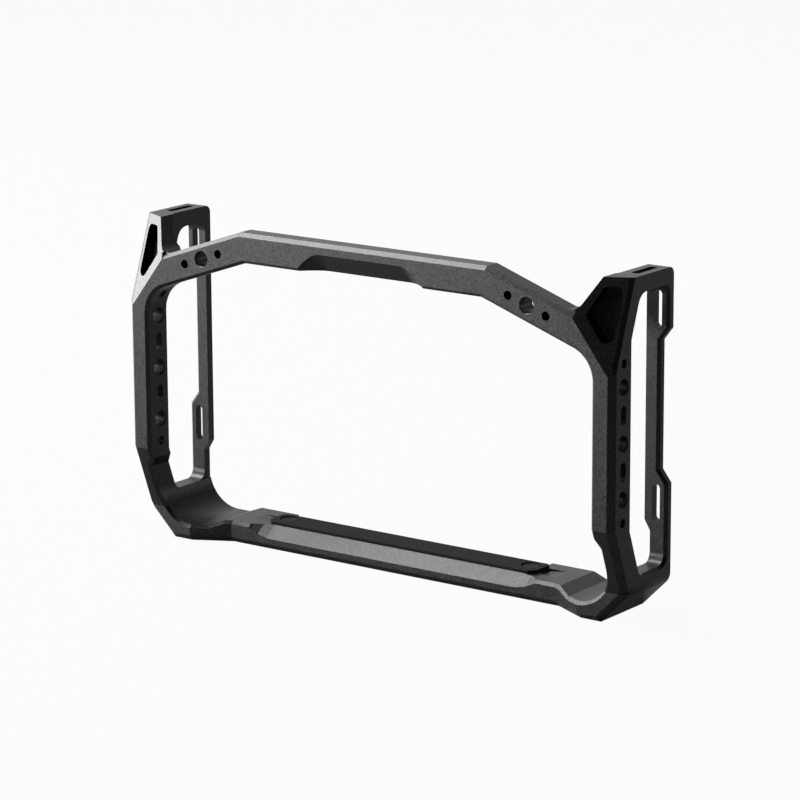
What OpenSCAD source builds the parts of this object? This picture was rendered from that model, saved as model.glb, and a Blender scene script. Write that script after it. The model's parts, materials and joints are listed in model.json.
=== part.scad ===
// Monitor cage: a machined frame for a field monitor, with a rubber pad and two captive screws.
// Millimetres, +Z up, X across, +Y from the front face to the back.
// Origin: middle of the width and the depth, underside of the cage.

/* [Overall] */
// Overall width across the side faces
cage_w = 197.2; // [188:0.1:230]
// Overall height from the underside to the ear tops
cage_h = 113.1; // [108:0.1:135]
// Overall depth from the front face to the back of the rear bars
cage_d = 35; // [34:0.1:42]

/* [Columns] */
// Width of a column, side face to inner wall
col_w = 8.25; // [7.6:0.05:9]
// Depth of a column, front to back
col_d = 10.4; // [9.8:0.1:11]
// Chamfer along the outer front edges
out_chamfer = 2.1; // [1.5:0.1:2.4]
// Chamfer along the inner front edges
in_chamfer = 1.05; // [0.6:0.05:1.2]
// Height where the legs start to lean back
lean_h = 33; // [31:0.1:34]
// Angle at which the legs and the ears lean back
lean_a = 20.3; // [18:0.1:22]
// Distance of the middle mounting hole of a column below the top
side_hole_drop = 52.25; // [51.5:0.05:54]
// Distance between the mounting holes of a column
side_pitch = 18.2; // [17.6:0.1:18.6]

/* [Top bar and arms] */
// Height of the top bar
bar_h = 10.25; // [9.5:0.05:11]
// Depth of the top bar and arms
bar_d = 7; // [6.8:0.1:7.6]
// Distance from a side face to the end of the level top bar
knee_side = 48.6; // [47.6:0.1:50.6]
// Distance of the lower knee inside the upper one
knee_in = 2; // [0:0.1:2.5]
// Slope of the arms below level
arm_a = 19; // [17.5:0.1:20]
// Chamfer along the top front edge
top_chamfer = 1.3; // [0.9:0.05:1.5]
// Inner corner radius between arm and column
top_r = 10.95; // [10:0.05:11.5]
// Distance from a side face to the front mounting hole
front_hole_in = 32.6; // [31.5:0.1:33.5]
// Height of the finger scoop under the top bar
scoop_h = 6.55; // [5.5:0.05:6.8]
// Reach of the finger scoop towards the back
scoop_d = 6.4; // [5.5:0.1:6.6]

/* [Ears] */
// Distance from a side face to the split between arm and shoulder
split_in = 19.1; // [18.5:0.1:19.5]
// Height of the column above which the shoulder starts, below the top
shoulder_drop = 32.1; // [31.6:0.1:33]
// Tilt of the ear facet away from the front plane
facet_tilt = 30.8; // [28:0.1:32]
// Turn of the facet's lower edge in the front plane
facet_turn = 52.5; // [51:0.1:54]
// Width of the narrow bevel between facet and side face
facet_edge = 1.2; // [0.8:0.05:1.5]
// Thickness of the ear roof above the side window
roof_t = 5.4; // [4.8:0.1:5.8]
// Depth of the web behind the facet
web_d = 10.4; // [9.8:0.1:11.2]
// Corner radius at the back of the ear roof
roof_r = 2.5; // [1.5:0.1:3]

/* [Side windows and rear bars] */
// Thickness of a rear bar, front to back
rear_t = 2.9; // [2.5:0.1:3.3]
// Inward step of a rear bar at mid height
rear_step = 3.2; // [2:0.1:3.6]
// Lower end of the slim middle of a rear bar
slim_lo = 46.5; // [45:0.1:48]
// Upper end of the slim middle, below the top
slim_drop = 24.1; // [23:0.1:26]
// Chamfer along the front outer edge of a rear bar
rear_chamfer = 1; // [0.6:0.05:1.2]
// Width of the strap slots
slot_w = 2.9; // [2.6:0.1:3.3]
// Length of the strap slots
slot_l = 12.4; // [11.5:0.1:13]
// Height of the side window's lower edge
window_lo = 15.5; // [15:0.1:16.5]

/* [Feet and bottom bar] */
// Height of the bottom bar
base_h = 7.8; // [7.4:0.1:8.4]
// Depth of the bottom bar
base_d = 20; // [19.5:0.1:21]
// Distance from a side face to the end of the bottom bar
base_end_in = 29.25; // [28.5:0.05:30]
// Radius of the inner lower corners
low_r = 12.7; // [12:0.05:13.2]
// Height of the floor beside the bottom bar
floor_h = 5.8; // [5.4:0.1:6.2]
// Outward jog of the inner wall above the lower corners
jog = 2.1; // [1.5:0.05:2.2]
// Outer bevel of the lower corners
foot_bevel = 10.4; // [9.5:0.1:11]
// Height of the scoop along the front of the bottom bar
dish_h = 3.75; // [3:0.05:4]
// Reach of that scoop towards the back
dish_d = 4.9; // [4:0.1:5.2]

/* [Pad and screws] */
// Thickness of the rubber pad
pad_t = 1.1; // [0.8:0.1:1.6]
// Distance from a side face to the end of the rubber pad
pad_in = 43.1; // [42:0.1:45]
// Depth of the rubber pad
pad_d = 10.6; // [9.8:0.1:11]
// Distance from the end of the pad to the screw
screw_in = 5.2; // [4.8:0.1:6]
// Thread radius of a screw
thread_r = 3.15; // [3:0.05:3.2]
// Neck radius of a screw, under its head
neck_r = 2.4; // [2.2:0.05:2.5]
// Head radius of a screw
head_r = 4.7; // [4.5:0.05:4.8]
// Head height of a screw
head_h = 1.6; // [1.4:0.1:2]
// Thickness of the ledge a screw pulls against
ledge_t = 1.6; // [1.4:0.1:2]
// Thickness of the nylon washer
washer_t = 0.5; // [0.4:0.05:0.7]

/* [Output] */
// Sub-part to build
// Facets of a full circle
facets = 48; // [32:8:64]

/* [Hidden] */
$fn = facets;
metal = [0.2, 0.2, 0.21];
rubber = [0.08, 0.08, 0.08];
steel = [0.5, 0.5, 0.52];
nylon = [0.85, 0.85, 0.8];
over = 1;
lap = 0.02;
big = 200;
half_w = cage_w / 2;
lean = tan(lean_a);

// Inner walls and heights
wall_x = half_w - col_w;
low_x = wall_x + jog;
jog_drop = 7;
jog_run = 3.5;
jog_lo = lean_h - jog_drop;
jog_hi = jog_lo + jog_run;
drop = tan(arm_a);
knee_x = half_w - knee_side;
arm_low = cage_h - bar_h - knee_in * drop;
split_x = half_w - split_in;
shoulder_z = cage_h - shoulder_drop;
turn_x = wall_x - top_r * tan(45 - arm_a / 2) * cos(arm_a);
end_x = half_w - base_end_in;
arc_x = low_x - low_r;
arc_z = floor_h + low_r;
flat_w = 5.15;

// Front planes of the legs and feet
leg_z = 10.8;
leg_y = lean * (lean_h - leg_z);
recede_in = 18.6;
recede_x = half_w - recede_in;
recede_w = 13;
base_x = recede_x - recede_w;
base_in = cage_d - base_d;
recede_a = atan((base_in - leg_y) / recede_w);
bevel_fade = 0.6;

// Side window
rear_y = cage_d - rear_t;
window_hi = cage_h - roof_t;
front_drop = 1.5;
front_lo = lean_h - front_drop;
front_top_in = 19.6;
front_hi = cage_h - front_top_in;
window_r = [2.5, 3.5, 3.5, 4.6];
window = [[col_d, front_lo], [col_d + lean * (front_lo - window_lo), window_lo],
    [rear_y, window_lo], [rear_y, window_hi],
    [col_d + lean * (window_hi - front_hi), window_hi], [col_d, front_hi]];
roof_gap = 3.3;
roof_y = window[4].x + window_r[3] * tan(45 - lean_a / 2) + roof_gap;
skew_a = 20;

// Ends of the two scoops: shares of the run along X and of the depth
scoop_half = 26.6;
scoop_shares = [[1, 0], [0.925, 0.24], [0.85, 0.54], [0.763, 0.79], [0.703, 0.92], [0.639, 1]];
dish_in = 38.2;
dish_run = 11;
dish_shares = [[0, 0], [0.155, 0.375], [0.445, 0.75], [0.791, 0.96], [1, 1]];

// Holes
big_r = 2.55;
big_mouth = 0.3;
pin_r = 1.5;
pin_off = 7.62;
side_y = (col_d + out_chamfer) / 2;
side_hole_h = cage_h - side_hole_drop;
side_slot_w = 3.1;
side_slot_l = 6.2;
front_x = half_w - front_hole_in;
front_z = cage_h - (bar_h - in_chamfer + top_chamfer) / 2 - drop * (front_x - knee_x);
strap_in = 4;
strap_x = half_w - strap_in;
strap_drop = 13.8;
strap_hi = cage_h - strap_drop;
strap_lo = 35.6;
roof_slot_in = 11;
roof_slot_y = cage_d - roof_slot_in;
slim_run = 4.2;

// Ears
facet_n = [sin(facet_tilt) * sin(facet_turn), -cos(facet_tilt), sin(facet_tilt) * cos(facet_turn)];
facet_p = [half_w - out_chamfer, 0, shoulder_z + out_chamfer];
edge_x = half_w - facet_edge;
edge_y = (facet_n.x * (edge_x - facet_p.x)) / -facet_n.y;
edge_n = [0.624, -0.734, 0.267];
ear_a = 61.7;
ear_r = 4.4;
ear_in = 8.85;
ear_top_x = half_w - ear_in;
ear_foot_x = (ear_top_x * tan(ear_a) + drop * knee_x) / (tan(ear_a) + drop);
ear_foot_z = cage_h - drop * (ear_foot_x - knee_x);
pocket_in = [8, 2.35, 11.9];
pocket_drop = [3, 24.6, 11.6];
pocket = [[half_w - pocket_in[0], cage_h - pocket_drop[0]],
    [half_w - pocket_in[1], cage_h - pocket_drop[0]],
    [half_w - pocket_in[1], cage_h - pocket_drop[1]],
    [half_w - pocket_in[2], cage_h - pocket_drop[2]]];
pocket_r = [1.2, 2.2, 2.2, 0.9];
pocket_d = 4.2;
web_low_z = front_hi - over;
web_run = [0.8, 4.2];
web_side_in = 12;
web_x = [split_x + web_run[0], split_x + web_run[1], half_w - web_side_in];
web_side_d = 5;
web_side_y = web_d + web_side_d;

// Pad and screws
pad_y = base_in + dish_d;
pad_cut = 2.4;
pad_gap = 0.1;
pad_hole_r = thread_r + pad_gap;
pad_x = half_w - pad_in;
screw_x = pad_x - screw_in;
screw_run = 6.4;
screw_y = pad_y + screw_run;
head_side_gap = 0.4;
bore_r = head_r + head_side_gap;
bore_z = base_h - ledge_t;
thread_gap = 0.07;
ledge_r = thread_r + thread_gap;
head_gap = 0.1;
washer_z = head_gap + head_h;
washer_gap = 0.05;
washer_r = bore_r - washer_gap;
neck_gap = 0.08;
washer_bore = neck_r + neck_gap;
neck_spare = 0.1;
neck_h = washer_t + ledge_t + neck_spare;
screw_sink = 0.3;
screw_top = base_h + pad_t - screw_sink;
drive_w = 1.2;
drive_h = 0.9;
thread_pitch = 1.27;
thread_dip = 0.35;
relief_in = 16.4;
relief_x = end_x - relief_in;
relief = 2.5;
ramp_w = 7.4;
ramp_h = 0.6;
ramp_d = 7;

// Corner b of the outline a, b, c rounded to radius r
function unit(v) = v / norm(v);
function round_corner(a, b, c, r, n = 8) =
    let (u = unit(a - b), v = unit(c - b), half = acos(u * v) / 2,
        m = b + unit(u + v) * r / sin(half), s = b + u * r / tan(half),
        turn = 180 - 2 * half, w = s - m, dir = u.x * v.y - u.y * v.x > 0 ? -1 : 1)
    [for (i = [0:n]) let (t = -dir * turn * i / n)
        m + [w.x * cos(t) + w.y * sin(t), -w.x * sin(t) + w.y * cos(t)]];

function arc(cx, cz, r, from, to, n = 12) =
    [for (i = [0:n]) let (t = from + (to - from) * i / n) [cx + r * cos(t), cz + r * sin(t)]];

// A flat outline in X and Z, extruded from y0 to y1
module slab(y0, y1) {
    translate([0, y1, 0])
        rotate([90, 0, 0])
            linear_extrude(y1 - y0)
                children();
}

// A flat outline in Y and Z, extruded from x0 to x1
module plate(x0, x1) {
    translate([x0, 0, 0])
        rotate([90, 0, 90])
            linear_extrude(x1 - x0)
                children();
}

// Everything on the far side of the plane through p with normal n
module beyond(p, n) {
    translate(p)
        rotate([0, acos(n.z / norm(n)), atan2(n.y, n.x)])
            translate([-big, -big, 0])
                cube([2 * big, 2 * big, big]);
}

// Chamfer on the front plane along p to q, metal on the left of the run
module edge_cut(p, q, c, y = 0, past = lap) {
    a = atan2(q.y - p.y, q.x - p.x);
    translate([p.x, y, p.y])
        rotate([0, -a, 0])
            plate(-past, norm(q - p) + past)
                polygon([[-over, -over], [c + over, -over], [-over, c + over]]);
}

// Chamfers along a run of points on the front plane, metal on its left
// Where the run turns right, they reach on until they meet
module edge_run(p, c, y = 0) {
    n = len(p) - 1;
    u = [for (i = [0:n - 1]) unit(p[i + 1] - p[i])];
    past = [for (i = [0:n]) let (a = u[max(i - 1, 0)], b = u[min(i, n - 1)], s = a.y * b.x - a.x * b.y)
        max(0, c * tan(asin(s) / 2)) + lap];
    for (i = [0:n - 1])
        edge_cut(p[i] - past[i] * u[i], p[i + 1] + past[i + 1] * u[i], c, y, 0);
}

// The frame of the leaning legs
module leaning() {
    translate([0, 0, lean_h])
        rotate([lean_a, 0, 0])
            children();
}

function along(z) = -(lean_h - z) / cos(lean_a);

module above(z) {
    intersection() {
        children();
        translate([0, -big, z])
            cube([2 * big, 2 * big, big]);
    }
}

module below(z) {
    intersection() {
        children();
        translate([0, -big, z - big])
            cube([2 * big, 2 * big, big]);
    }
}

module both() {
    children();
    mirror([1, 0, 0])
        children();
}

module window_cut() {
    w = window;
    plate(wall_x - lap, half_w + over)
        polygon(concat([w[0]], round_corner(w[0], w[1], w[2], window_r[0]),
            round_corner(w[1], w[2], w[3], window_r[1]), round_corner(w[2], w[3], w[4], window_r[2]),
            round_corner(w[3], w[4], w[5], window_r[3]), [w[5]]));
}

// Rear corner of the window, centred at height z, rounded and bevelled on its outer side
module window_corner(z, r, lo) {
    difference() {
        translate([wall_x, rear_y - r, lo])
            cube([col_w, cage_d - rear_y + r, r]);
        translate([wall_x - over, rear_y - r, z])
            rotate([0, 90, 0])
                cylinder(h = col_w + 2 * over, r = r);
        translate([half_w - rear_chamfer, rear_y - r, z])
            rotate([0, 90, 0])
                cylinder(h = 2 * rear_chamfer, r1 = r, r2 = r + 2 * rear_chamfer);
    }
}

// The window's front edge in the shoulder, which comes further back on the inner side
module window_front() {
    c = cos(skew_a);
    top = [window[4].x * c, window_hi];
    low = [c * (col_d - lean * (front_hi - shoulder_z + over)), shoulder_z - over];
    translate([half_w, 0, 0])
        rotate([0, 0, -skew_a])
            plate(-2 * col_w, col_w)
                polygon(concat([low], [[big, low.y], [big, window_hi]],
                    round_corner([big, window_hi], top, low, window_r[3])));
}

// Threaded hole along Z with chamfers at its mouths
module tapped(len, mouths = [-1, 1]) {
    cylinder(h = len + 2 * over, r = big_r, center = true);
    for (s = mouths)
        translate([0, 0, s * len / 2])
            cylinder(h = 2 * big_mouth, r1 = s < 0 ? big_r + 2 * big_mouth : big_r,
                r2 = s < 0 ? big_r : big_r + 2 * big_mouth, center = true);
}

module obround(w, l, h) {
    linear_extrude(h, center = true)
        union() {
            square([l - w, w], center = true);
            for (s = [-1, 1])
                translate([s * (l - w) / 2, 0])
                    circle(w / 2);
        }
}

// Row of mounting holes in a column, which may run on into the shoulder and the leg
module side_holes() {
    translate([wall_x + col_w / 2, side_y, side_hole_h]) {
        for (i = [-1:1])
            translate([0, 0, i * side_pitch])
                rotate([0, 90, 0])
                    tapped(col_w);
        for (s = [-1, 1])
            translate([0, 0, s * side_pitch / 2])
                rotate([0, 90, 0])
                    obround(side_slot_w, side_slot_l, col_w + 2 * over);
        for (s = [-1, 1])
            translate([split_x - wall_x - col_w / 2, 0, s * (side_pitch + pin_off)])
                rotate([0, 90, 0])
                    cylinder(h = split_in + over, r = pin_r);
    }
}

// Rounded lower corner of the outline, from the side face down
function foot_round() =
    round_corner([half_w, window_lo], [half_w, foot_bevel], [half_w - foot_bevel, 0], foot_bevel / 2, 6);

function reverse(list) = [for (i = [len(list) - 1:-1:0]) list[i]];

// Chamfers of the leaning front plane, which ends at height leg_z
module leaning_edges() {
    outer = concat(reverse(foot_round()), [[half_w, lean_h + over]]);
    inner = concat([[wall_x, lean_h + over], [wall_x, jog_hi], [low_x, jog_lo]],
        [for (t = [0:-10:-50]) [arc_x + low_r * cos(t), arc_z + low_r * sin(t)]]);
    above(leg_z)
        leaning() {
            edge_run([for (p = outer) [p.x, along(p.y)]], out_chamfer);
            edge_run([for (p = inner) [p.x, along(p.y)]], in_chamfer);
        }
}

// Front planes of leg, foot and bottom bar
module front_cut() {
    plate(-half_w - over, half_w + over)
        polygon([[-over, -over], [leg_y, -over], [leg_y, leg_z], [0, lean_h], [-over, lean_h]]);
    linear_extrude(lean_h - over, center = true)
        polygon([[-recede_x, 0], [-recede_x, leg_y], [-recede_x + recede_w, base_in],
            [recede_x - recede_w, base_in], [recede_x, leg_y], [recede_x, 0]]);
}

module top_bar() {
    low = cage_h - bar_h;
    knee = knee_x - knee_in;
    lip = scoop_h * scoop_d / norm([scoop_h, scoop_d]);
    ends = [for (e = scoop_shares) [e.x * scoop_half, e.y]];
    color(metal)
        difference() {
            slab(0, bar_d)
                polygon([[-knee_x, arm_low], [-knee, low], [knee, low], [knee_x, arm_low],
                    [knee_x, cage_h], [-knee_x, cage_h]]);
            edge_cut([knee_x, cage_h], [-knee_x, cage_h], top_chamfer);
            edge_run([[-knee_x - over, arm_low - over * drop], [-knee, low], [knee, low],
                [knee_x + over, arm_low - over * drop]], in_chamfer);
            translate([0, 0, low + scoop_h])
                rotate([atan(scoop_d / scoop_h) - 90, 0, 0])
                    slab(-bar_h, bar_h * 2)
                        polygon(concat([for (e = ends) [e.x, (e.y - 1) * lip]],
                            [for (i = [len(ends) - 1:-1:0]) [-ends[i].x, (ends[i].y - 1) * lip]],
                            [[-ends[0].x, -lip - over], [ends[0].x, -lip - over]]));
        }
}

module arm() {
    low = arm_low;
    fall = drop * (split_x - knee_x);
    color(metal)
        difference() {
            slab(0, bar_d)
                polygon([[knee_x, low], [split_x, low - fall], [split_x, cage_h - fall],
                    [knee_x, cage_h]]);
            edge_cut([split_x + over, cage_h - fall - over * drop],
                [knee_x - over, cage_h + over * drop], top_chamfer);
            edge_cut([knee_x - over, low + over * drop],
                [split_x + over, low - fall - over * drop], in_chamfer);
            translate([front_x, 0, front_z])
                rotate([0, arm_a, 0]) {
                    translate([0, bar_d / 2, 0])
                        rotate([90, 0, 0])
                            tapped(bar_d, [1]);
                    for (s = [-1, 1])
                        translate([s * pin_off, -over, 0])
                            rotate([-90, 0, 0])
                                cylinder(h = 0.7 * bar_d + over, r = pin_r);
                }
        }
}

// Outline of the shoulder in X and Z
function shoulder_outline() =
    let (low = arm_low, a = [split_x, low - drop * (split_x - knee_x)],
        b = [wall_x, low - drop * (wall_x - knee_x)], c = [wall_x, shoulder_z],
        d = [ear_top_x, cage_h], e = [ear_foot_x, ear_foot_z],
        f = [split_x, cage_h - drop * (split_x - knee_x)])
    concat([a], round_corner(a, b, c, top_r, 10), [c, [half_w, shoulder_z], [half_w, cage_h], d],
        round_corner(d, e, f, ear_r, 8), [f]);

module shoulder() {
    low = arm_low;
    corner = [wall_x, low - drop * (wall_x - knee_x)];
    rise = top_r * tan(45 - arm_a / 2);
    color(metal)
        difference() {
            slab(0, roof_y)
                polygon(shoulder_outline());
            intersection() {
                window_cut();
                window_front();
            }
            linear_extrude(web_low_z)
                polygon([[split_x - over, bar_d], [web_x[0], bar_d], [web_x[1], web_d],
                    [wall_x, web_d], [wall_x, cage_d], [split_x - over, cage_d]]);
            linear_extrude(cage_h + over)
                polygon([[split_x - over, bar_d], [web_x[0], bar_d], [web_x[1], web_d],
                    [web_x[2], web_d], [wall_x, web_side_y], [wall_x, cage_d], [split_x - over, cage_d]]);
            beyond(facet_p, facet_n);
            beyond([edge_x, edge_y, facet_p.z], edge_n);
            edge_cut([half_w, shoulder_z - over], [half_w, facet_p.z + over], out_chamfer);
            edge_cut([ear_foot_x, ear_foot_z], [split_x - over, cage_h - drop * (split_x - over - knee_x)],
                top_chamfer);
            edge_cut([split_x - over, low - drop * (split_x - over - knee_x)],
                [turn_x, corner.y + rise * sin(arm_a)], in_chamfer);
            edge_cut([wall_x, corner.y - rise], [wall_x, shoulder_z - over], in_chamfer);
            intersection() {
                translate([wall_x - top_r, 0, corner.y - rise])
                    rotate([-90, 0, 0])
                        cylinder(h = 2 * in_chamfer, r1 = top_r + in_chamfer, r2 = top_r - in_chamfer);
                translate([turn_x, -over, corner.y - rise])
                    cube([2 * top_r, 2 * top_r, 2 * top_r]);
            }
            difference() {
                slab(-over, big)
                    polygon(concat(round_corner(pocket[3], pocket[0], pocket[1], pocket_r[0]),
                        round_corner(pocket[0], pocket[1], pocket[2], pocket_r[1]),
                        round_corner(pocket[1], pocket[2], pocket[3], pocket_r[2]),
                        round_corner(pocket[2], pocket[3], pocket[0], pocket_r[3])));
                beyond([facet_p.x, pocket_d, facet_p.z], -facet_n);
            }
            side_holes();
            roof_slot();
        }
}

module roof_slot() {
    translate([strap_x, roof_slot_y, cage_h])
        rotate([0, 0, 90])
            obround(slot_w, slot_l, roof_t * 2 + over);
}

module roof() {
    y0 = roof_y;
    p = [[y0, window_hi], [cage_d, window_hi], [cage_d, cage_h], [y0, cage_h]];
    color(metal)
        difference() {
            plate(wall_x, half_w)
                polygon(concat([p[0], p[1]], round_corner(p[1], p[2], p[3], roof_r), [p[3]]));
            roof_slot();
        }
}

module column() {
    color(metal)
        difference() {
            translate([wall_x, 0, lean_h])
                cube([col_w, col_d, shoulder_z - lean_h]);
            edge_cut([half_w, lean_h - over], [half_w, shoulder_z + over], out_chamfer);
            edge_cut([wall_x, shoulder_z + over], [wall_x, lean_h - over], in_chamfer);
            side_holes();
        }
}

// Part of a rear bar, with the runs in edges bevelled
module slat(outline, edges) {
    difference() {
        slab(rear_y, cage_d)
            polygon(outline);
        for (i = edges)
            edge_cut(outline[i], outline[i + 1], rear_chamfer, rear_y, over);
    }
}

module rear_bar() {
    slim = half_w - rear_step;
    slim_hi = cage_h - slim_drop;
    rise = slim_run * (slim - wall_x) / rear_step;
    lo = window_lo + window_r[1];
    hi = window_hi - window_r[2];
    color(metal)
        difference() {
            union() {
                slat([[wall_x, slim_hi - rise], [half_w, slim_hi + slim_run], [half_w, hi],
                    [wall_x, hi]], [0, 1]);
                slat([[wall_x, slim_lo], [slim, slim_lo], [slim, slim_hi], [wall_x, slim_hi]], [1]);
                slat([[wall_x, lo], [half_w, lo], [half_w, slim_lo - slim_run],
                    [wall_x, slim_lo + rise]], [1, 2]);
                window_corner(lo, window_r[1], window_lo);
                window_corner(hi, window_r[2], hi);
            }
            slab(0, cage_d + over)
                polygon([[0, jog_hi], [wall_x, jog_hi], [low_x, jog_lo], [low_x, 0], [0, 0]]);
            for (z = [strap_lo, strap_hi])
                translate([strap_x, cage_d, z])
                    rotate([90, 90, 0])
                        obround(slot_w, slot_l, rear_t * 3);
        }
}

module leg() {
    color(metal)
        difference() {
            slab(0, window[1].x + window_r[0])
                polygon(concat([[wall_x, lean_h], [wall_x, jog_hi], [low_x, jog_lo]],
                    arc(arc_x, arc_z, low_r, 0, asin((window_lo - arc_z) / low_r), 4),
                    [[half_w, window_lo], [half_w, lean_h]]));
            window_cut();
            front_cut();
            side_holes();
            leaning_edges();
        }
}

// Outline of the foot in X and Z
function foot_outline() =
    concat([[half_w, window_lo]], foot_round(), [[half_w - foot_bevel, 0], [base_x, 0],
        [base_x, base_h], [end_x, base_h], [arc_x - flat_w, floor_h]], arc(arc_x, arc_z, low_r, -90,
        asin((window_lo - arc_z) / low_r), 16));

module foot() {
    turns = [[over, floor_h], [arc_x - flat_w - recede_x, floor_h], [end_x - recede_x, base_h],
        [-recede_w - over, base_h]];
    outer = concat([[recede_x, 0], [half_w - foot_bevel, 0]], reverse(foot_round()),
        [[half_w, window_lo]]);
    color(metal)
        difference() {
            slab(0, cage_d)
                polygon(foot_outline());
            window_cut();
            front_cut();
            leaning_edges();
            below(leg_z)
                edge_run(outer, out_chamfer, leg_y);
            translate([arc_x, leg_y, arc_z])
                rotate([-90, 0, 0])
                    intersection() {
                        cylinder(h = 2 * in_chamfer, r1 = low_r + in_chamfer, r2 = low_r - in_chamfer);
                        translate([0, arc_z - leg_z, -over])
                            cube([2 * low_r, 2 * low_r, big]);
                    }
            translate([recede_x, leg_y, 0])
                rotate([0, 0, -recede_a]) {
                    edge_cut([-2 * recede_w, 0], [over, 0], out_chamfer);
                    edge_run([for (t = turns) [t.x / cos(recede_a), t.y]], in_chamfer);
                }
            intersection() {
                slab(window[1].x, rear_y - window_r[1])
                    polygon([[half_w + over, window_lo + over],
                        [half_w - rear_chamfer - over, window_lo + over],
                        [half_w + over, window_lo - rear_chamfer - over]]);
                beyond([half_w, window[1].x + window_r[0] / 2, window_lo], [1, bevel_fade, 1]);
            }
            translate([half_w - rear_chamfer, rear_y - window_r[1], window_lo + window_r[1]])
                rotate([0, 90, 0])
                    cylinder(h = 2 * rear_chamfer, r1 = window_r[1], r2 = window_r[1] + 2 * rear_chamfer);
        }
}

module bottom_bar() {
    lip = dish_h * dish_d / norm([dish_h, dish_d]);
    tip = half_w - dish_in;
    ends = [for (e = dish_shares) [tip - e.x * dish_run, e.y]];
    color(metal)
        difference() {
            slab(base_in, cage_d)
                polygon([[-base_x, 0], [base_x, 0], [base_x, base_h], [-base_x, base_h]]);
            edge_cut([-base_x, 0], [base_x, 0], out_chamfer, base_in, over);
            edge_cut([base_x, base_h], [-base_x, base_h], in_chamfer, base_in, over);
            translate([0, pad_y, base_h])
                rotate([atan(dish_h / dish_d), 0, 0])
                    slab(-base_h * 2, base_h)
                        polygon(concat([for (e = ends) [e.x, (1 - e.y) * lip]],
                            [for (i = [len(ends) - 1:-1:0]) [-ends[i].x, (1 - ends[i].y) * lip]],
                            [[-tip, base_h], [tip, base_h]]));
            plate(-relief_x, relief_x)
                polygon([[cage_d - relief, base_h + over], [cage_d - relief, base_h],
                    [cage_d, base_h - relief], [cage_d + over, base_h - relief],
                    [cage_d + over, base_h + over]]);
            both() {
                translate([screw_x, screw_y, -over])
                    cylinder(h = base_h + 2 * over, r = ledge_r);
                translate([screw_x, screw_y, -over])
                    cylinder(h = bore_z + over, r = bore_r);
                slab(pad_y + pad_cut, pad_y + pad_cut + ramp_d)
                    polygon([[pad_x, base_h - ramp_h], [pad_x + ramp_w, base_h],
                        [pad_x + ramp_w, base_h + over], [pad_x, base_h + over]]);
            }
        }
}

module pad() {
    x = pad_x;
    back = pad_y + pad_d;
    color(rubber)
        difference() {
            translate([0, 0, base_h])
                linear_extrude(pad_t)
                    polygon([[-x + pad_cut, pad_y], [x - pad_cut, pad_y], [x, pad_y + pad_cut],
                        [x, back - pad_t], [x - pad_t, back], [-x + pad_t, back],
                        [-x, back - pad_t], [-x, pad_y + pad_cut]]);
            both()
                translate([screw_x, screw_y, base_h - over])
                    cylinder(h = pad_t + 2 * over, r = pad_hole_r);
        }
}

module screw() {
    thread_z = washer_z + neck_h;
    turns = floor((screw_top - thread_z) / thread_pitch);
    color(steel)
        translate([screw_x, screw_y, 0])
            difference() {
                union() {
                    translate([0, 0, head_gap])
                        cylinder(h = head_h, r = head_r);
                    translate([0, 0, washer_z])
                        cylinder(h = neck_h, r = neck_r);
                    translate([0, 0, thread_z])
                        cylinder(h = screw_top - thread_z - thread_dip, r = thread_r);
                    translate([0, 0, screw_top - thread_dip])
                        cylinder(h = thread_dip, r1 = thread_r, r2 = thread_r - thread_dip);
                }
                translate([-head_r - over, -drive_w / 2, 0])
                    cube([2 * head_r + 2 * over, drive_w, head_gap + drive_h]);
                for (i = [0:turns - 1])
                    translate([0, 0, screw_top - thread_pitch * (i + 0.8)])
                        rotate_extrude()
                            polygon([[thread_r - thread_dip, 0],
                                [thread_r + over, -thread_pitch / 3 - over / 2],
                                [thread_r + over, thread_pitch / 3 + over / 2]]);
            }
}

module washer() {
    color(nylon)
        translate([screw_x, screw_y, washer_z])
            difference() {
                cylinder(h = washer_t, r = washer_r);
                translate([0, 0, -over])
                    cylinder(h = washer_t + 2 * over, r = washer_bore);
            }
}

module centred() {
    translate([0, -cage_d / 2, 0])
        children();
}

module left() {
    mirror([1, 0, 0])
        centred()
            children();
}

centred() top_bar();
left() arm();  // arm_l
centred() arm();  // arm_r
left() shoulder();  // shoulder_l
centred() shoulder();  // shoulder_r
left() roof();  // roof_l
centred() roof();  // roof_r
left() column();  // column_l
centred() column();  // column_r
left() rear_bar();  // rear_bar_l
centred() rear_bar();  // rear_bar_r
left() leg();  // leg_l
centred() leg();  // leg_r
left() foot();  // foot_l
centred() foot();  // foot_r
centred() bottom_bar();
centred() pad();
left() screw();  // screw_l
centred() screw();  // screw_r
left() washer();  // washer_l
centred() washer();  // washer_r
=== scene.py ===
import json
import math

import bpy
from mathutils import Matrix, Vector

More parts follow.
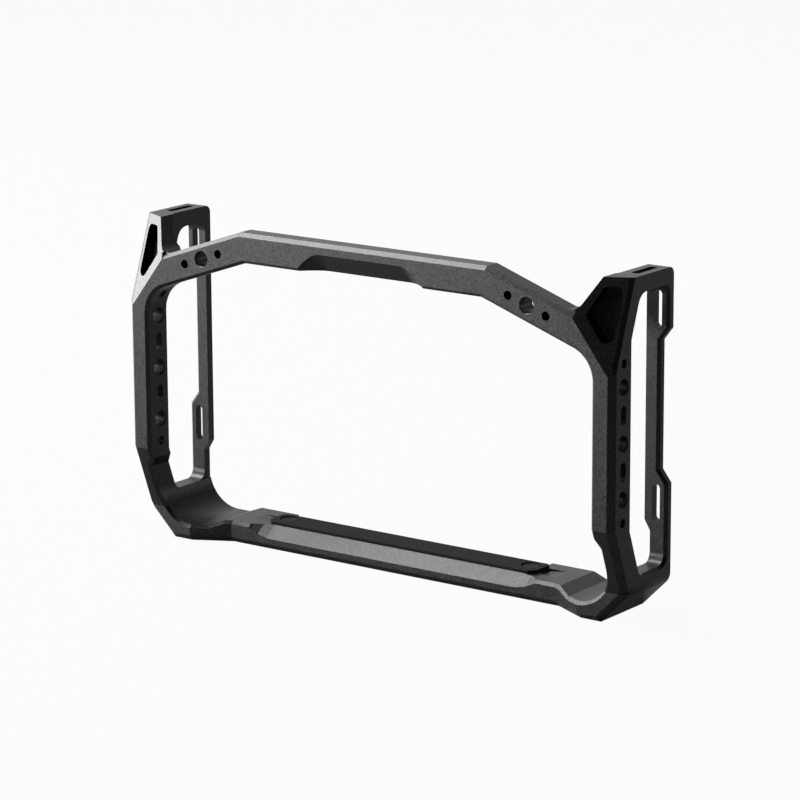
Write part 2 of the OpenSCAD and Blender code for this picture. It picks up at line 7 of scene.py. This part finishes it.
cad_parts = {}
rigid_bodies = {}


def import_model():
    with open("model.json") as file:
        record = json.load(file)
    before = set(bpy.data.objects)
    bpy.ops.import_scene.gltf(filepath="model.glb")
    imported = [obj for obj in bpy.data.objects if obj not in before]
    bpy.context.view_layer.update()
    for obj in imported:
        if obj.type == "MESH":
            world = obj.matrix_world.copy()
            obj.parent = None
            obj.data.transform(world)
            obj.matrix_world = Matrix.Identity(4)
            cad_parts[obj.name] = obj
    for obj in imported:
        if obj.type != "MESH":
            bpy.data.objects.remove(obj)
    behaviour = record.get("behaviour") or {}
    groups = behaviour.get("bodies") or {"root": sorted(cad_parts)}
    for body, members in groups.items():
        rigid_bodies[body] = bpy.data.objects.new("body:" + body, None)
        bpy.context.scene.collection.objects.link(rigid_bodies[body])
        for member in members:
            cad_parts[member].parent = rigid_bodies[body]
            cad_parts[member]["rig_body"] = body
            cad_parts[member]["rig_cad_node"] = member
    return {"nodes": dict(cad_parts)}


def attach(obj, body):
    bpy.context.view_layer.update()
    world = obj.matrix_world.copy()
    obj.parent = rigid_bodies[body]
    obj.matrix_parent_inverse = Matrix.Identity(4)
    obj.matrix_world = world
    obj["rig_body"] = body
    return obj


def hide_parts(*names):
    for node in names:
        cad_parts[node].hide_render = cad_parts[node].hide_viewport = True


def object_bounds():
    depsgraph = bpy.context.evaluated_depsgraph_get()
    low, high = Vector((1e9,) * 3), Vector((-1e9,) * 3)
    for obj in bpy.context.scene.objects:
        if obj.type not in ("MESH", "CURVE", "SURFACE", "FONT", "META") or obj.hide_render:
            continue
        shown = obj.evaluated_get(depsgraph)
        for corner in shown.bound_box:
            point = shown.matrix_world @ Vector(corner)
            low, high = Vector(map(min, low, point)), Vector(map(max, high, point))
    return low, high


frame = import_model()
cadLow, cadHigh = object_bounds()


# Picking and shaping helpers

def pickNone():
    bpy.ops.object.select_all(action="DESELECT")


def pickOnly(piece):
    pickNone()
    piece.select_set(True)
    bpy.context.view_layer.objects.active = piece


def applyModifier(piece, kind, **settings):
    pickOnly(piece)
    modifier = piece.modifiers.new(kind.lower(), kind)
    for key, value in settings.items():
        setattr(modifier, key, value)
    bpy.ops.object.modifier_apply(modifier=modifier.name)


def copyOfNode(nodeName, pieceName):
    pickOnly(frame["nodes"][nodeName])
    bpy.ops.object.duplicate()
    copy = bpy.context.object
    bpy.ops.object.parent_clear(type="CLEAR_KEEP_TRANSFORM")
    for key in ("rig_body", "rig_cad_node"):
        del copy[key]
    copy.name = copy.data.name = pieceName
    return copy


def cleanUp(piece, weld, flat):  # welds the loose triangles and melts flat faces together
    pickOnly(piece)
    bpy.ops.object.mode_set(mode="EDIT")
    bpy.ops.mesh.select_all(action="SELECT")
    bpy.ops.mesh.remove_doubles(threshold=weld)
    bpy.ops.mesh.dissolve_limited(angle_limit=math.radians(flat))
    bpy.ops.object.mode_set(mode="OBJECT")


def roundEdges(piece, width, segments, sharp):
    applyModifier(piece, "BEVEL", width=width, segments=segments, limit_method="ANGLE",
                  angle_limit=math.radians(sharp), use_clamp_overlap=False,
                  harden_normals=False, miter_outer="MITER_ARC")


def shadeFlatAndRound(piece, sharp, weight):  # flat faces stay flat, curved ones turn smooth
    pickOnly(piece)
    bpy.ops.object.shade_smooth_by_angle(angle=math.radians(sharp))
    applyModifier(piece, "WEIGHTED_NORMAL", mode="FACE_AREA", weight=weight, keep_sharp=True)


# Shader maths: a wire is one output socket, and sums and products of wires add their nodes

class Wire:
    def __init__(self, finish, socket):
        self.finish, self.socket = finish, socket

    def maths(self, operation, first, second):
        return self.finish.add("ShaderNodeMath", {"operation": operation}, {0: first, 1: second})

    def __add__(self, other):
        return self.maths("ADD", self, other)

    def __sub__(self, other):
        return self.maths("SUBTRACT", self, other)

    def __rsub__(self, other):
        return self.maths("SUBTRACT", other, self)

    def __mul__(self, other):
        return self.maths("MULTIPLY", self, other)

    def greater(self, other):
        return self.maths("MAXIMUM", self, other)

    def mixedWith(self, other, share):
        return self * share + other * (1 - share)

    def swing(self, size):  # a pattern of 0 to 1 becomes a swing around nought
        return (self - 0.5) * size

    def smooth(self, low, high):
        return self.finish.add("ShaderNodeMapRange", {"interpolation_type": "SMOOTHSTEP"},
                               {"Value": self, "From Min": low, "From Max": high})

    __radd__ = __add__
    __rmul__ = __mul__


class Finish:
    def __init__(self, owner):
        owner.use_nodes = True
        self.owner, self.tree = owner, owner.node_tree
        self.tree.nodes.clear()

    def add(self, kind, settings=None, sockets=None, output=0):
        node = self.tree.nodes.new(kind)
        for key, value in (settings or {}).items():
            setattr(node, key, value)
        for key, value in (sockets or {}).items():
            if isinstance(value, Wire):
                self.tree.links.new(value.socket, node.inputs[key])
            else:
                node.inputs[key].default_value = value
        return Wire(self, node.outputs[output])

    def place(self):
        return self.add("ShaderNodeTexCoord", output="Object")

    def noise(self, place, scale, detail=2, rough=0.5):
        return self.add("ShaderNodeTexNoise", None,
                        {"Vector": place, "Scale": scale, "Detail": detail, "Roughness": rough})

    def along(self, place, axis):
        return self.add("ShaderNodeVectorMath", {"operation": "DOT_PRODUCT"},
                        {0: place, 1: axis}, "Value")

    def blend(self, factor, first, second):
        return self.add("ShaderNodeMix", {"data_type": "RGBA"}, {0: factor, 6: first, 7: second}, 2)

    def bump(self, height, strength, depth):
        return self.add("ShaderNodeBump", None,
                        {"Height": height, "Strength": strength, "Distance": depth})

    def surface(self, sockets):
        return self.end(self.add("ShaderNodeBsdfPrincipled", None, sockets))

    def end(self, shader, kind="ShaderNodeOutputMaterial"):
        node = self.tree.nodes.new(kind)
        self.tree.links.new(shader.socket, node.inputs["Surface"])
        return self.owner


def grey(value, tint=0.0):  # a tint above nought is warm, one below it is cold
    return (value * (1 + tint), value, value * (1 - tint), 1)


# Bead-blasted, anodised metal: fine grain with pits, and faint clouds over it

anodised = {
    "dark": 0.011, "light": 0.040, "tint": -0.015, "metallic": 1.0,
    "grainScale": 3000, "grainDetail": 3, "grainRough": 0.6, "pitScale": 1350,
    "grainShare": 0.7, "grainEdge": (0.3, 0.7), "cloudScale": 70, "speckleShare": 0.88,
    "roughness": 0.42, "roughSwing": 0.1, "cloudSwing": 0.08,
    "bumpStrength": 0.22, "bumpDepth": 0.00006,
}


def anodisedFinish():
    s = anodised
    finish = Finish(bpy.data.materials.new("anodisedAluminium"))
    place = finish.place()
    grain = finish.noise(place, s["grainScale"], s["grainDetail"], s["grainRough"])
    pits = finish.noise(place, s["pitScale"])
    cloud = finish.noise(place, s["cloudScale"])
    speckle = grain.mixedWith(pits, s["grainShare"]).smooth(*s["grainEdge"])
    tone = speckle.mixedWith(cloud, s["speckleShare"])
    return finish.surface({
        "Base Color": finish.blend(tone, grey(s["dark"], s["tint"]), grey(s["light"], s["tint"])),
        "Metallic": s["metallic"],
        "Roughness": speckle.swing(s["roughSwing"]) + cloud.swing(s["cloudSwing"]) + s["roughness"],
        "Normal": finish.bump(grain + pits, s["bumpStrength"], s["bumpDepth"]),
    })


# Moulded rubber of the pad

rubber = {
    "dark": 0.004, "light": 0.010, "specular": 0.05, "roughness": 0.7, "roughSwing": 0.2,
    "grainScale": 1400, "grainDetail": 4, "grainRough": 0.65, "cloudScale": 90,
    "grainShare": 0.6, "bumpStrength": 0.35, "bumpDepth": 0.00008,
}


def rubberFinish():
    s = rubber
    finish = Finish(bpy.data.materials.new("padRubber"))
    place = finish.place()
    grain = finish.noise(place, s["grainScale"], s["grainDetail"], s["grainRough"])
    tone = grain.mixedWith(finish.noise(place, s["cloudScale"]), s["grainShare"])
    return finish.surface({
        "Base Color": finish.blend(tone, grey(s["dark"]), grey(s["light"])),
        "Specular IOR Level": s["specular"],
        "Roughness": grain.swing(s["roughSwing"]) + s["roughness"],
        "Normal": finish.bump(grain, s["bumpStrength"], s["bumpDepth"]),
    })


# Blackened steel of the screws, with fine rings from the lathe

steel = {
    "dark": 0.003, "light": 0.009, "tint": 0.02, "specular": 0.04,
    "roughness": 0.5, "roughSwing": 0.2,
    "ringScale": 500, "ringStretch": (1, 1, 14), "ringRough": 0.6, "spotScale": 260,
    "detail": 3, "ringShare": 0.5, "bumpStrength": 0.2, "bumpDepth": 0.00004,
}


def steelFinish():
    s = steel
    finish = Finish(bpy.data.materials.new("blackenedSteel"))
    place = finish.place()
    stretched = finish.add("ShaderNodeMapping", None, {"Vector": place, "Scale": s["ringStretch"]})
    rings = finish.noise(stretched, s["ringScale"], s["detail"], s["ringRough"])
    tone = rings.mixedWith(finish.noise(place, s["spotScale"], s["detail"]), s["ringShare"])
    return finish.surface({
        "Base Color": finish.blend(tone, grey(s["dark"], s["tint"]), grey(s["light"], s["tint"])),
        "Specular IOR Level": s["specular"],
        "Roughness": rings.swing(s["roughSwing"]) + s["roughness"],
        "Normal": finish.bump(rings, s["bumpStrength"], s["bumpDepth"]),
    })


# Nylon of the washers

nylon = {
    "dark": 0.52, "light": 0.66, "tint": 0.03, "roughness": 0.5, "roughSwing": 0.2,
    "grainScale": 1500, "cloudScale": 200, "bumpStrength": 0.2, "bumpDepth": 0.00003,
}


def nylonFinish():
    s = nylon
    finish = Finish(bpy.data.materials.new("washerNylon"))
    place = finish.place()
    grain = finish.noise(place, s["grainScale"])
    cloud = finish.noise(place, s["cloudScale"])
    return finish.surface({
        "Base Color": finish.blend(cloud, grey(s["dark"], s["tint"]), grey(s["light"], s["tint"])),
        "Roughness": grain.swing(s["roughSwing"]) + s["roughness"],
        "Normal": finish.bump(grain, s["bumpStrength"], s["bumpDepth"]),
    })


anodisedMetal = anodisedFinish()
padRubber = rubberFinish()
blackSteel = steelFinish()
washerNylon = nylonFinish()
print("finishes made")


def dress(piece, material):
    piece.data.materials.clear()
    piece.data.materials.append(material)


# The frame: its CAD nodes already have every chamfer and hole, so they keep their meshes

cage = {
    "nodes": ["top_bar", "arm_l", "arm_r", "shoulder_l", "shoulder_r", "roof_l", "roof_r",
              "column_l", "column_r", "rear_bar_l", "rear_bar_r", "leg_l", "leg_r", "foot_l",
              "foot_r", "bottom_bar"],
}


def dressCage():
    for nodeName in cage["nodes"]:
        dress(frame["nodes"][nodeName], anodisedMetal)
    print("cage dressed:", len(cage["nodes"]), "nodes")


# Pad, screws and washers: their CAD forms with softened edges

softening = {
    "weld": 0.000004, "flatAngle": 0.4, "segments": 3, "bevelAngle": 30, "shadeAngle": 40,
    "weight": 60,
}

smallParts = [
    {"node": "pad", "piece": "rubberPad", "body": "cage", "slot": "pad", "edge": 0.00022,
     "material": padRubber},
    {"node": "screw_l", "piece": "clampScrew_l", "body": "screw_l", "slot": "screw",
     "edge": 0.00008, "material": blackSteel},
    {"node": "screw_r", "piece": "clampScrew_r", "body": "screw_r", "slot": "screw",
     "edge": 0.00008, "material": blackSteel},
    {"node": "washer_l", "piece": "nylonWasher_l", "body": "washer_l", "slot": "washer",
     "edge": 0.00008, "material": washerNylon},
    {"node": "washer_r", "piece": "nylonWasher_r", "body": "washer_r", "slot": "washer",
     "edge": 0.00008, "material": washerNylon},
]


def buildSmallPart(s):
    piece = copyOfNode(s["node"], s["piece"])
    cleanUp(piece, softening["weld"], softening["flatAngle"])
    roundEdges(piece, s["edge"], softening["segments"], softening["bevelAngle"])
    shadeFlatAndRound(piece, softening["shadeAngle"], softening["weight"])
    dress(piece, s["material"])
    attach(piece, s["body"])
    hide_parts(s["node"])
    print(s["piece"], "made")


dressCage()
for part in smallParts:
    buildSmallPart(part)


# Studio: pale floor, white backdrop, soft lamps

studio = {
    "floorSize": 12.0, "floorTone": 0.2, "floorWhite": 0.95,
    # mirrored: the painted glow of the floor in reflected rays, low away from the object and high
    # in front of it
    "mirrored": (0.08, 1.0), "mirrorAxis": (-0.59, -0.81, 0), "mirrorEdge": (0.1, 0.24),
    "roomLight": 0.03, "backEdge": (0.3, 0.7),
}

lampStand = {"distance": 1.3, "size": 0.5}

lamps = {
    "frontLeft": {"azimuth": 323, "elevation": 5, "watts": 19},  # front faces
    "highLeft": {"azimuth": 284, "elevation": 54, "watts": 30},  # top chamfer of the bar
    "highFront": {"azimuth": 305, "elevation": 58, "watts": 5},
    "lowLeft": {"azimuth": 300, "elevation": 4, "watts": 9},
    "sideLeft": {"azimuth": 272, "elevation": 5, "watts": 16},  # facet of the left ear
    "edgeLeft": {"azimuth": 270, "elevation": 30, "watts": 14},  # top chamfer of the left arm
    "backRight": {"azimuth": 140, "elevation": 6, "watts": 2},
}

view = {
    "place": (0.6918, -0.9375, 0.3376), "azimuth": 36.28, "down": 13.43, "roll": -0.31,
    "lens": 162.63, "sensor": 36.0,
}


def whiteRays(finish):
    names = ("Is Camera Ray", "Is Glossy Ray", "Is Transmission Ray")
    camera, glossy, through = (finish.add("ShaderNodeLightPath", output=n) for n in names)
    return camera, glossy.greater(through)


def buildFloor():
    s = studio
    pickNone()
    bpy.ops.mesh.primitive_plane_add(size=s["floorSize"], location=(0, 0, 0))
    floor = bpy.context.object
    floor.name = floor.data.name = "floor"
    finish = Finish(bpy.data.materials.new("paleFloor"))
    camera, mirrored = whiteRays(finish)
    matt = finish.add("ShaderNodeBsdfDiffuse", None, {"Color": grey(s["floorTone"])})
    glow = finish.add("ShaderNodeEmission", None, {"Strength": 1.0})
    ahead = finish.along(finish.place(), s["mirrorAxis"])
    low, high = s["mirrored"]  # painted glow: to reflected rays the floor glows brighter in front of the object, for the metal to mirror
    paintedGlow = mirrored * (ahead.smooth(*s["mirrorEdge"]) * (high - low) + low)
    white = (camera * s["floorWhite"]).greater(paintedGlow)
    dress(floor, finish.end(finish.add("ShaderNodeMixShader", None, {0: white, 1: matt, 2: glow})))


def buildWorld():
    s = studio
    world = bpy.data.worlds.new("studioRoom")
    bpy.context.scene.world = world
    finish = Finish(world)
    camera, mirrored = whiteRays(finish)
    turn = math.radians(view["azimuth"])
    direction = finish.add("ShaderNodeTexCoord", output="Generated")
    ahead = finish.along(direction, (-math.sin(turn), math.cos(turn), 0))
    behind = ahead.smooth(*s["backEdge"])  # the backdrop stands on the far side of the object
    white = camera.greater(mirrored * behind)
    room = finish.add("ShaderNodeBackground", None, {"Color": grey(1), "Strength": s["roomLight"]})
    drop = finish.add("ShaderNodeBackground", None, {"Color": grey(1), "Strength": 1.0})
    finish.end(finish.add("ShaderNodeMixShader", None, {0: white, 1: room, 2: drop}),
               "ShaderNodeOutputWorld")


def placeLamp(name, s, target):
    azimuth, elevation = math.radians(s["azimuth"]), math.radians(s["elevation"])
    away = Vector((math.sin(azimuth) * math.cos(elevation),
                   -math.cos(azimuth) * math.cos(elevation), math.sin(elevation)))
    light = bpy.data.lights.new(name, "AREA")
    light.shape, light.size, light.energy = "SQUARE", lampStand["size"], s["watts"]
    lamp = bpy.data.objects.new(name, light)
    bpy.context.scene.collection.objects.link(lamp)
    lamp.location = target + away * lampStand["distance"]
    lamp.rotation_euler = (-away).to_track_quat("-Z", "Y").to_euler()


def buildCamera():
    s = view
    turn, down, roll = (math.radians(s[k]) for k in ("azimuth", "down", "roll"))
    ahead = Vector((-math.sin(turn) * math.cos(down), math.cos(turn) * math.cos(down),
                    -math.sin(down)))
    right = Vector((math.cos(turn), math.sin(turn), 0))
    up = right.cross(ahead)
    tiltedRight = right * math.cos(roll) + up * math.sin(roll)
    tiltedUp = up * math.cos(roll) - right * math.sin(roll)
    lens = bpy.data.cameras.new("camera")
    lens.lens, lens.sensor_width = s["lens"], s["sensor"]
    camera = bpy.data.objects.new("camera", lens)
    bpy.context.scene.collection.objects.link(camera)
    axes = Matrix((tiltedRight, tiltedUp, -ahead)).transposed().to_4x4()
    camera.matrix_world = Matrix.Translation(s["place"]) @ axes
    bpy.context.scene.camera = camera


buildFloor()
buildWorld()
centre = (cadLow + cadHigh) / 2
for lampName, lampSettings in lamps.items():
    placeLamp(lampName, lampSettings, centre)
buildCamera()
bpy.context.scene.view_settings.view_transform = "Standard"
print("studio set")
